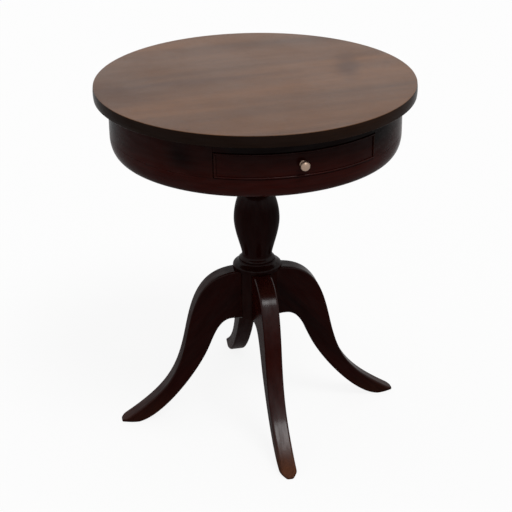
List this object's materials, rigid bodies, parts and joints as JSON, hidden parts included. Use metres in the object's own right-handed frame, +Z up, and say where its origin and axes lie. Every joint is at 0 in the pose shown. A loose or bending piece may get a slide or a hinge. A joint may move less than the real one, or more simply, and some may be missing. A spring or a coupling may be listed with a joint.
{
  "type": "side table",
  "caption": "Round drum side table with a curved drawer in its frieze, turning on a vase-turned column with splayed sabre legs.",
  "frame": {"origin": "on the floor, on the column's axis", "axes": "+Z up along the column, -Y the way the drawer opens, +X to the right of someone facing the drawer"},
  "size_m": [0.51, 0.51, 0.593],
  "materials": {
    "mahogany": "polished, dark red-brown",
    "dark_mahogany": "polished, almost black",
    "inner_wood": "planed, unpolished",
    "brass": "polished, slightly tarnished",
    "iron": "blackened",
    "steel": "bright"
  },
  "bodies": {
    "base": {"leg_front": "mahogany", "leg_right": "mahogany", "leg_back": "mahogany", "leg_left": "mahogany", "leg_hub": "dark_mahogany", "collar": "dark_mahogany", "column": "mahogany", "spider_plate": "iron", "plate_screw_front": "iron", "plate_screw_right": "iron", "plate_screw_back": "iron", "plate_screw_left": "iron", "centre_screw": "iron", "pivot_washer": "steel", "pivot_screw": "steel"},
    "drum": {"table_top": "mahogany", "frieze_wall": "dark_mahogany", "drawer_rail": "dark_mahogany", "base_ring": "dark_mahogany", "drum_floor": "inner_wood", "bearer": "inner_wood", "guide_left": "inner_wood", "guide_right": "inner_wood", "batten_left": "inner_wood", "batten_right": "inner_wood", "drawer_stop_left": "inner_wood", "drawer_stop_right": "inner_wood", "batten_screw_left_front": "steel", "batten_screw_left_rear": "steel", "batten_screw_right_front": "steel", "batten_screw_right_rear": "steel", "bearer_screw_left_front": "steel", "bearer_screw_left_rear": "steel", "bearer_screw_right_front": "steel", "bearer_screw_right_rear": "steel"},
    "drawer": {"drawer_front": "mahogany", "drawer_side_left": "inner_wood", "drawer_side_right": "inner_wood", "drawer_back": "inner_wood", "drawer_bottom": "inner_wood", "cock_bead_top": "mahogany", "cock_bead_bottom": "mahogany", "cock_bead_left": "mahogany", "cock_bead_right": "mahogany", "drawer_knob": "brass", "knob_screw": "steel"}
  },
  "joints": [
    {"name": "drum_turn", "type": "hinge", "parent": "base", "child": "drum", "pos_m": [0, 0, 0.486], "axis": [0, 0, 1], "continuous": true},
    {"name": "drawer_slide", "type": "slide", "parent": "drum", "child": "drawer", "axis": [0, -1, 0], "range_m": [0, 0.25]}
  ]
}
